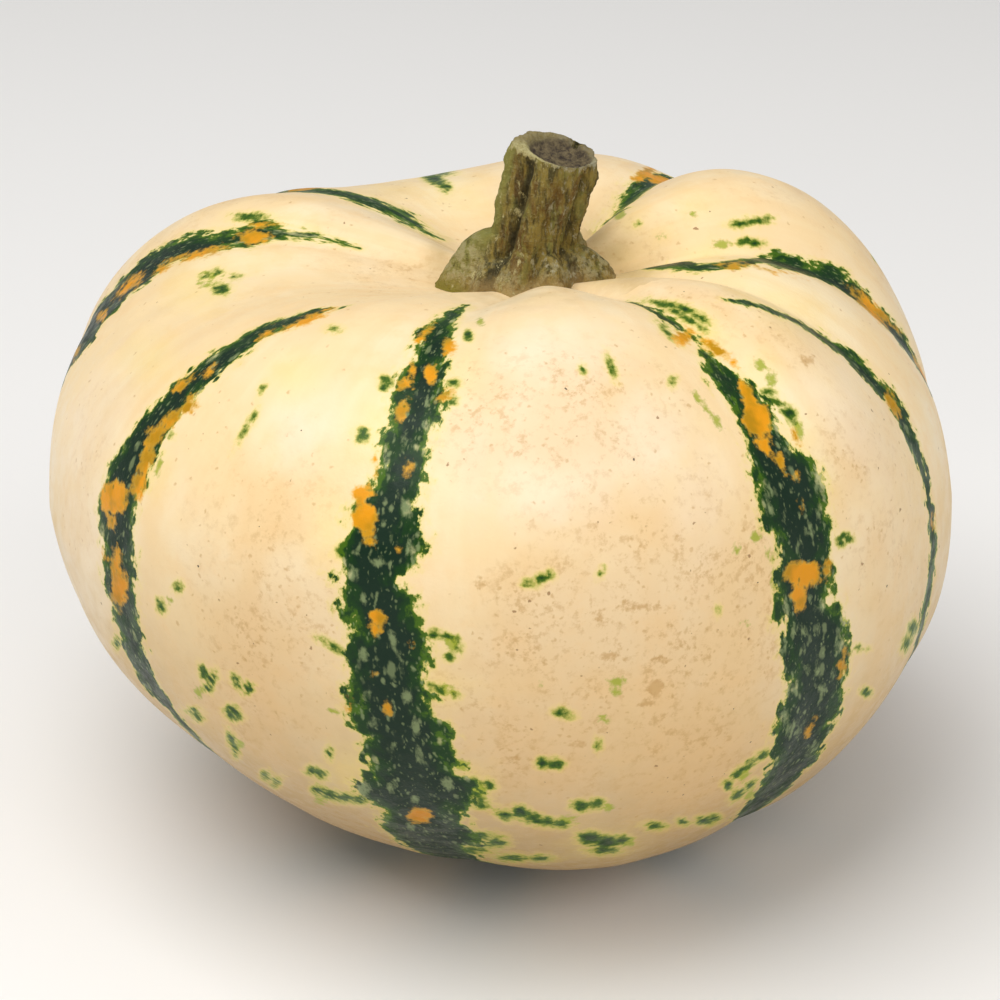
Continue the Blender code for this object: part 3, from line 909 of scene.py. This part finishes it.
def cut_rings(rim):
    """Rings of the torn cut face, from its rim into the dished middle."""
    along, right, front = stem_axes()
    middle = rim.mean(axis=0)
    rings, hollows = [], []
    for row in range(1, CUT_ROWS + 1):
        inward = 1 - row / (CUT_ROWS + 1)
        ring = middle + (rim - middle) * inward
        offset = (ring - middle) * 1000
        across = (offset @ right - HOLLOW_SHIFT_MM) / HOLLOW_HALF_WIDTH_MM
        ahead = offset @ front / HOLLOW_HALF_DEPTH_MM
        hollow = smooth_step(1.12, 0.72, np.hypot(across, ahead))
        ragged = rough(offset * 0.9, 5)
        lift = RIM_LIP_MM * math.sin(math.pi * min((1 - inward) / 0.2, 1.0))
        height = lift - CUT_DEPTH * 1000 * hollow + ragged * (TORN_CUT_MM + TORN_HOLLOW_MM * hollow)
        rings.append(ring + along * (height / 1000)[:, None])
        hollows.append(hollow)
    return rings, hollows


def build_stem(fruit):
    """The fine surface of the cut stem, with the fields that its material reads."""
    azimuths = np.arange(STEM_COLUMNS) * 360 / STEM_COLUMNS
    bark, heights, relief = stem_bark(azimuths, fruit)
    face, hollows = cut_rings(bark[-1])
    rings = bark + face
    bottom, top = stem_seat()[None], rings[-1].mean(axis=0)[None]
    points = np.concatenate([*rings[::-1], top, bottom])
    total = len(rings) * STEM_COLUMNS
    fans = ((list(range(STEM_COLUMNS)), total, True),
            (list(range(total - STEM_COLUMNS, total)), total + 1, False))
    piece = make_piece("stem_bark", points, grid_faces(len(rings), STEM_COLUMNS), fans)

    turn = np.radians(azimuths)
    blank = np.zeros(STEM_COLUMNS)
    levels = [blank + height for height in heights]
    toes = [toe_relief(azimuths, level) for level in levels] + [blank] * len(face)
    levels += [blank + heights[-1]] * len(face)
    cuts = [blank + smooth_step(0.93, 1.0, height / heights[-1]) * 0.5 for height in heights]
    cuts += [blank + 1.0] * len(face)
    reliefs = [relief] * len(bark) + [blank] * len(face)
    hollows = [blank] * len(bark) + hollows

    def stack(parts, ends=(0.0, 0.0)):
        return np.concatenate([*parts[::-1], np.array(ends)])

    add_field(piece, "level", stack(levels, (heights[-1], 0.0)))
    add_field(piece, "toe", stack(toes))
    add_field(piece, "cut", stack(cuts, (1.0, 0.0)))
    add_field(piece, "relief", stack(reliefs))
    add_field(piece, "hollow", stack(hollows, (1.0, 0.0)))
    add_field(piece, "leftness", stack([-np.sin(turn)] * len(rings)))
    add_field(piece, "frontness", stack([np.cos(turn)] * len(rings)))
    return piece


# Material building

class Paint:
    """A short way to write a node material, with its colour built up in coats."""

    def __init__(self, name):
        self.material = bpy.data.materials.new(name)
        self.material.use_nodes = True
        self.tree = self.material.node_tree
        self.shader = self.tree.nodes["Principled BSDF"]
        self.colour = None

    def feed(self, socket, value):
        """Set a socket to a number or colour, or link another node's output to it."""
        if isinstance(value, bpy.types.NodeSocket):
            self.tree.links.new(value, socket)
        elif isinstance(value, tuple) and socket.type == "RGBA":
            socket.default_value = (*value, 1.0)
        else:
            socket.default_value = value

    def node(self, kind, inputs, **settings):
        """A new node; its inputs are given by name or number."""
        made = self.tree.nodes.new(kind)
        for setting, value in settings.items():
            setattr(made, setting, value)
        for socket, value in inputs.items():
            self.feed(made.inputs[socket], value)
        return made

    def field(self, name, output="Fac"):
        """A value stored with each point of the mesh."""
        return self.node("ShaderNodeAttribute", {}, attribute_name=name).outputs[output]

    def place(self, scale=1000):
        """Places on the object, in millimetres unless another scale is given."""
        inputs = {"Vector": self.node("ShaderNodeTexCoord", {}).outputs["Object"], "Scale": (scale,) * 3}
        return self.node("ShaderNodeMapping", inputs).outputs["Vector"]

    def stretch(self, vector, along, offset=(0.0, 0.0, 0.0)):
        """Coordinates that draw a pattern out along the third axis, where along is below 1."""
        inputs = {"Vector": vector, "Scale": (1, 1, along), "Location": offset}
        return self.node("ShaderNodeMapping", inputs).outputs["Vector"]

    def noise(self, vector, scale, detail=2.0, roughness=0.5):
        inputs = {"Vector": vector, "Scale": scale, "Detail": detail, "Roughness": roughness}
        return self.node("ShaderNodeTexNoise", inputs).outputs[0]

    def cells(self, vector, scale, feature="F1"):
        return self.node("ShaderNodeTexVoronoi", {"Vector": vector, "Scale": scale}, feature=feature)

    def math(self, operation, *values):
        return self.node("ShaderNodeMath", dict(enumerate(values)), operation=operation).outputs[0]

    def times(self, one, two):
        return self.math("MULTIPLY", one, two)

    def line(self, value, slope, start):
        """Slope times the value, plus a start."""
        return self.math("MULTIPLY_ADD", value, slope, start)

    def swayed(self, value, rough, amount):
        """A value that a noise moves up and down."""
        return self.line(self.math("SUBTRACT", rough, 0.5), amount, value)

    def frayed(self, name, rough, amount):
        """A field in millimetres with its border frayed by a noise."""
        return self.swayed(self.field(name), rough, amount)

    def soft(self, low, high, value):
        """A soft rise from 0 to 1 between two limits; a falling one where low is above high."""
        rising = float(low < high)
        inputs = {"Value": value, "From Min": min(low, high), "From Max": max(low, high),
                  "To Min": 1.0 - rising, "To Max": rising}
        return self.node("ShaderNodeMapRange", inputs, interpolation_type="SMOOTHSTEP").outputs["Result"]

    def blend(self, share, one, two):
        """Colour one where share is 0, colour two where it is 1."""
        return self.node("ShaderNodeMix", {0: share, 6: one, 7: two}, data_type="RGBA").outputs[2]

    def wash(self, share, strength, one, two):
        """Blend with the share scaled down."""
        return self.blend(self.times(share, strength), one, two)

    def coat(self, share, strength, colour):
        """Lay a colour over the coats so far."""
        self.colour = self.wash(share, strength, self.colour, colour)

    def cover(self, share, colour):
        """Lay a colour over the coats so far at its full strength."""
        self.colour = self.blend(share, self.colour, colour)

    def drops(self, vector, chance, scale, largest, softness):
        """Dots of random size in a share of the cells: 1 inside a dot and 0 outside; sizes in cells."""
        cells = self.cells(vector, scale)
        draw = self.node("ShaderNodeSeparateColor", {"Color": cells.outputs["Color"]})
        kept = self.math("LESS_THAN", draw.outputs["Red"], chance)
        size = self.line(draw.outputs["Green"], largest * 0.65, largest * 0.35)
        size = self.times(size, kept)
        return self.soft(0.0, softness, self.math("SUBTRACT", size, cells.outputs["Distance"]))

    def warped(self, vector, scale, amount):
        """Coordinates shifted by a noise, so that what is drawn on them loses its regular shape."""
        noisy = self.node("ShaderNodeTexNoise", {"Vector": vector, "Scale": scale}).outputs["Color"]
        inputs = {0: noisy, 1: (amount,) * 3, 2: vector}
        return self.node("ShaderNodeVectorMath", inputs, operation="MULTIPLY_ADD").outputs["Vector"]

    def bump(self, height, distance):
        made = self.node("ShaderNodeBump", {"Height": height, "Distance": distance, "Strength": 1.0})
        self.feed(self.shader.inputs["Normal"], made.outputs["Normal"])

    def finish(self, roughness, specular):
        """Give the shader the coats' colour and its gloss."""
        self.feed(self.shader.inputs["Base Color"], self.colour)
        self.feed(self.shader.inputs["Roughness"], roughness)
        self.feed(self.shader.inputs["Specular IOR Level"], specular)
        return self.material


def rind_base(paint, flow, place, dirty):
    """The cream skin without its marks: mottled, darker beige below as painted shade, with yellow glows and
    a whiter painted highlight.
    """
    mottle = paint.noise(place, *MOTTLE)
    bands = paint.noise(paint.stretch(flow, 0.12), *LENGTHWISE_BANDS)
    paint.colour = paint.blend(paint.soft(0.42, 0.66, paint.noise(place, *BROAD_TONES)), CREAM, CREAM_PALE)
    paint.coat(paint.soft(0.46, 0.68, bands), 0.30, CREAM_WARM)
    paint.coat(paint.soft(0.48, 0.70, mottle), 0.35, CREAM_WARM)
    # Painted shade: the rind turns darker beige towards the underside, with the mottle fraying the change
    height = paint.line(mottle, 12.0, paint.field("latitude"))
    paint.coat(paint.soft(22, -30, height), 0.92, BEIGE_SHADE)
    # Painted highlight: whiter cream laid over the places where the highlight falls
    paint.coat(paint.soft(-3.0, 5.0, paint.frayed("highlight", mottle, 8.0)), 0.60, HIGHLIGHT_CREAM)
    paint.coat(dirty, 0.40, TAN_WASH)
    paint.coat(paint.soft(-2.5, 4.0, paint.frayed("glow", mottle, 5.0)), 0.26, YELLOW_TINT)
    paint.coat(paint.soft(-1.5, 2.5, paint.frayed("stain", mottle, 4.0)), 0.60, STEM_STAIN)


def rind_freckles(paint, place, dirty):
    """Tan freckles, brown and black dots and small scurf patches."""
    smear = paint.noise(place, *SMEARS)
    cloud = paint.soft(0.44, 0.66, paint.noise(place, *FRECKLE_CLOUDS))
    paint.coat(paint.times(paint.soft(0.50, 0.72, smear), dirty), 0.34, TAN)
    patchy = paint.times(paint.soft(0.46, 0.62, smear), cloud)
    paint.coat(paint.times(patchy, dirty), 0.36, TAN)
    bent = paint.warped(place, 1.3, 0.9)
    seldom = paint.line(dirty, 0.40, 0.06)
    paint.coat(paint.drops(bent, paint.line(dirty, 0.55, 0.10), *TAN_DOTS), 0.46, TAN)
    paint.coat(paint.drops(bent, seldom, *BROWN_DOTS), 0.75, BROWN)
    paint.coat(paint.drops(bent, seldom, *BLACK_DOTS), 0.90, BLACK_SPECK)
    paint.coat(paint.soft(-0.1, 0.5, paint.frayed("scurf", smear, 2.4)), 0.55, TAN)


def ragged_stripe(paint, flow):
    """Millimetres inside the green, with a clumped and frayed border that is calmer near the stem."""
    clumps = paint.noise(paint.stretch(flow, 0.8), *GREEN_CLUMPS)
    crumbs = paint.noise(paint.stretch(flow, 0.75), *GREEN_CRUMBS)
    cells = paint.cells(paint.stretch(flow, 0.8), 0.62, "SMOOTH_F1").outputs["Distance"]
    change = paint.swayed(paint.swayed(0.0, clumps, 3.6), crumbs, 4.2)
    change = paint.line(paint.math("SUBTRACT", 0.36, cells), 2.4, change)
    rag = paint.line(paint.soft(72, 20, paint.field("latitude")), 0.65, 0.35)
    return paint.line(change, rag, paint.field("stripe"))


def stripe_colour(paint, flow, inside):
    """Dark green core with pale flecks and windows drawn out along the groove, greener at the border."""
    tone = paint.noise(paint.stretch(flow, 0.5), *GREEN_TONES)
    core = paint.swayed(inside, tone, 3.4)
    colour = paint.blend(paint.soft(0.15, 1.15, core), MID_GREEN, DARK_GREEN)
    colour = paint.blend(paint.soft(1.2, 3.0, core), colour, BLUE_BLACK)
    drawn = paint.stretch(paint.warped(flow, 0.9, 0.9), 0.48)
    patchy = paint.soft(0.30, 0.52, paint.noise(paint.stretch(flow, 0.6), *FLECK_CLOUDS))
    specks = paint.drops(paint.stretch(drawn, 1, (3.0, 7.0, 1.0)), 0.70, *FINE_FLECKS)
    colour = paint.wash(specks, 0.46, colour, FLECK_GREEN)
    flecks = paint.times(paint.drops(drawn, 0.85, *FLECKS), patchy)
    colour = paint.wash(flecks, 0.62, colour, FLECK_GREEN)
    windows = paint.drops(paint.stretch(drawn, 1, (5.0, 2.0, 9.0)), 0.42, *WINDOWS)
    given = paint.soft(-0.20, 0.45, paint.frayed("window", paint.noise(drawn, *WINDOW_EDGES), 1.9))
    pale = paint.blend(paint.soft(1.6, 0.3, core), FLECK_GREEN, WINDOW_CREAM)
    share = paint.math("MAXIMUM", paint.times(windows, 0.7), given)
    return paint.wash(share, 0.74, colour, pale)


def rind_green(paint, flow, place):
    """Stripes, stray marks and lime marks with their thin yellow-green fringe; gives where it is green."""
    fray = paint.noise(place, *MARK_EDGES)
    inside = ragged_stripe(paint, flow)
    marks = paint.math("ADD", paint.frayed("mark", fray, 1.2), 0.14)
    lime = paint.soft(-0.35, 0.22, paint.frayed("lime", fray, 1.7))
    halo = paint.math("MAXIMUM", paint.soft(-1.5, 0.1, inside), paint.soft(-0.7, 0.0, marks))
    paint.coat(halo, 0.36, LEMON)
    paint.coat(lime, 0.84, LIME)
    rim = paint.math("MAXIMUM", paint.soft(-0.42, 0.12, inside), paint.soft(-0.30, 0.10, marks))
    paint.coat(rim, 0.66, LIME)
    paint.cover(paint.soft(-0.06, 0.30, marks),
                paint.blend(paint.soft(0.22, 0.62, marks), MID_GREEN, DARK_GREEN))
    green = paint.soft(-0.10, 0.26, inside)
    paint.cover(green, stripe_colour(paint, flow, inside))
    return green


def rind_orange(paint, place, green):
    """Orange patches with soft borders, paler towards the stem and darker low down as painted shade."""
    amber = paint.frayed("orange", paint.noise(place, *ORANGE_EDGES), 2.0)
    shade = paint.blend(paint.soft(0.40, 0.62, paint.noise(place, *ORANGE_TONES)), ORANGE, OCHRE)
    high = paint.soft(38, 62, paint.field("latitude"))
    # Painted shade: the orange turns darker towards the underside
    shade = paint.wash(paint.soft(16, -14, paint.field("latitude")), 0.55, shade, SHADED_ORANGE)
    pale = paint.math("MAXIMUM", paint.times(high, 0.6), paint.soft(0.55, 0.0, amber))
    shade = paint.wash(pale, 0.60, shade, AMBER_PALE)
    flecks = paint.times(paint.drops(paint.stretch(place, 0.6), 0.30, *OLIVE_DOTS), green)
    shade = paint.wash(flecks, 0.75, shade, OLIVE_FLECK)
    paint.cover(paint.soft(-0.20, 0.45, amber), shade)


def rind_material():
    """Waxy cream rind with green and orange stripes."""
    paint = Paint("rind_look")
    flow, place = paint.field("flow", "Vector"), paint.place()
    dirty = paint.soft(-4.0, 8.0, paint.frayed("dirt", paint.noise(place, *DIRT_CLOUDS), 14.0))
    rind_base(paint, flow, place, dirty)
    rind_freckles(paint, place, dirty)
    green = rind_green(paint, flow, place)
    rind_orange(paint, place, green)
    scar = paint.line(paint.noise(place, *SCAR_EDGES), 3.0, paint.field("latitude"))
    paint.coat(paint.soft(-78, -81, scar), 0.90, BLOSSOM_SCAR)

    pores = paint.noise(place, *PORES)
    bloom = paint.soft(0.40, 0.62, paint.noise(place, *WAX_BLOOM))
    paint.bump(pores, RIND_BUMP)
    return paint.finish(paint.line(pores, 0.12, paint.line(bloom, 0.20, 0.26)), RIND_SPECULAR)


def bark_coats(paint, place, crumbs):
    """Olive and brown streaks, green on the left, grey lichen crumbs, painted shade in the furrows and a
    brown foot.
    """
    toe, relief, left = (paint.field(name) for name in ("toe", "relief", "leftness"))
    streaks = paint.noise(paint.stretch(place, 0.16), *BARK_STREAKS)
    broad = paint.noise(paint.stretch(place, 0.5), *BARK_TONES)
    paint.colour = paint.blend(paint.soft(0.36, 0.62, streaks), STEM_DARK_OLIVE, STEM_OLIVE)
    paint.coat(paint.soft(0.50, 0.64, broad), 0.65, STEM_BROWN)
    paint.coat(paint.soft(0.50, 0.68, crumbs), 0.50, STEM_GREY)
    moss = paint.noise(paint.stretch(place, 0.4), *BARK_MOSS)
    paint.coat(paint.soft(0.52, 0.62, moss), 0.45, STEM_GREEN)
    side = paint.times(paint.soft(0.1, 0.7, relief), paint.soft(0.3, 0.85, left))
    paint.coat(side, 0.78, STEM_GREEN)
    flakes = paint.noise(paint.stretch(place, 0.7), *BARK_FLAKES)
    on_toe = paint.soft(1.0, 2.6, toe)
    paint.coat(paint.times(on_toe, paint.soft(0.42, 0.58, flakes)), 0.80, STEM_CORK)
    paint.coat(paint.times(on_toe, paint.soft(0.44, 0.34, flakes)), 0.65, STEM_DARK_OLIVE)
    # Painted shade: the sunken furrows are darkened almost to black
    paint.coat(paint.soft(-0.15, -1.0, paint.swayed(relief, streaks, 1.6)), 0.80, STEM_FURROW_SHADE)
    foot = paint.line(crumbs, 2.4, paint.field("level"))
    paint.coat(paint.soft(4.6, 1.8, foot), 0.55, STEM_FOOT)
    toe_end = paint.times(paint.soft(3.3, 2.0, foot), paint.soft(0.75, 0.95, left))
    paint.coat(toe_end, 0.85, STEM_TOE_END)


def stem_material():
    """Dry corky bark with a pale torn rim and a brown dished cut."""
    paint = Paint("stem_look")
    place = paint.place()
    cut, left, ahead = paint.field("cut"), paint.field("leftness"), paint.field("frontness")
    crumbs = paint.noise(place, *BARK_CRUMBS)
    bark_coats(paint, place, crumbs)

    fibre = paint.noise(place, *CUT_FIBRES)
    torn = paint.swayed(cut, paint.noise(paint.stretch(place, 0.5), *RIM_SHREDS), 3.0)
    torn = paint.line(paint.soft(-0.2, 0.8, ahead), 0.10, torn)
    rim = paint.blend(paint.soft(0.3, -0.3, left), STEM_RIM_YELLOW, STEM_RIM_GREY)
    rim = paint.wash(paint.soft(0.3, -0.3, ahead), 0.75, rim, STEM_RIM_BROWN)
    rim = paint.wash(paint.soft(0.46, 0.62, crumbs), 0.60, rim, STEM_OLIVE)
    paint.cover(paint.soft(0.30, 0.62, torn), rim)
    sunk = paint.swayed(paint.field("hollow"), fibre, 1.1)
    paint.cover(paint.times(paint.soft(0.2, 0.6, sunk), cut),
                paint.blend(paint.soft(0.36, 0.64, fibre), STEM_PITH_DARK, STEM_PITH))
    paint.bump(paint.math("ADD", crumbs, fibre), STEM_BUMP)
    return paint.finish(STEM_ROUGHNESS, STEM_SPECULAR)


# Stage

def build_stage():
    """Plain pale floor."""
    mesh = bpy.data.meshes.new("floor")
    corners = [(-1, -1), (1, -1), (1, 1), (-1, 1)]
    mesh.from_pydata([(x * FLOOR_HALF, y * FLOOR_HALF, 0) for x, y in corners], [], [(0, 1, 2, 3)])
    floor = add_object("floor", mesh)
    floor.location.z = -FLOOR_DROP
    paint = Paint("floor_look")
    grain = paint.times(paint.noise(paint.place(1), *FLOOR_GRAIN), 0.1)
    paint.colour = paint.blend(grain, FLOOR_LIGHT, FLOOR_DARK)
    mesh.materials.append(paint.finish(FLOOR_ROUGHNESS, FLOOR_SPECULAR))


def build_lights():
    """Broad light from above and the left, a weak fill, and a pale room."""
    for name, (place, size, power, colour) in LIGHTS.items():
        data = bpy.data.lights.new(name, "AREA")
        data.size, data.energy, data.color = size, power, colour
        aim(add_object(name, data), place)
    world = bpy.data.worlds.new("room")
    world.use_nodes = True
    background = world.node_tree.nodes["Background"]
    background.inputs["Color"].default_value = ROOM
    background.inputs["Strength"].default_value = ROOM_STRENGTH
    bpy.context.scene.world = world
    bpy.context.scene.view_settings.view_transform = "Standard"


def main():
    """Build the whole scene."""
    make_camera()
    build_stage()
    build_lights()
    fruit = build_fruit()
    bpy.context.view_layer.update()
    fruit.data.materials.append(rind_material())
    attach(fruit, "root")
    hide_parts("fruit")
    stem = build_stem(fruit)
    stem.data.materials.append(stem_material())
    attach(stem, "root")
    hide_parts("stem")


main()
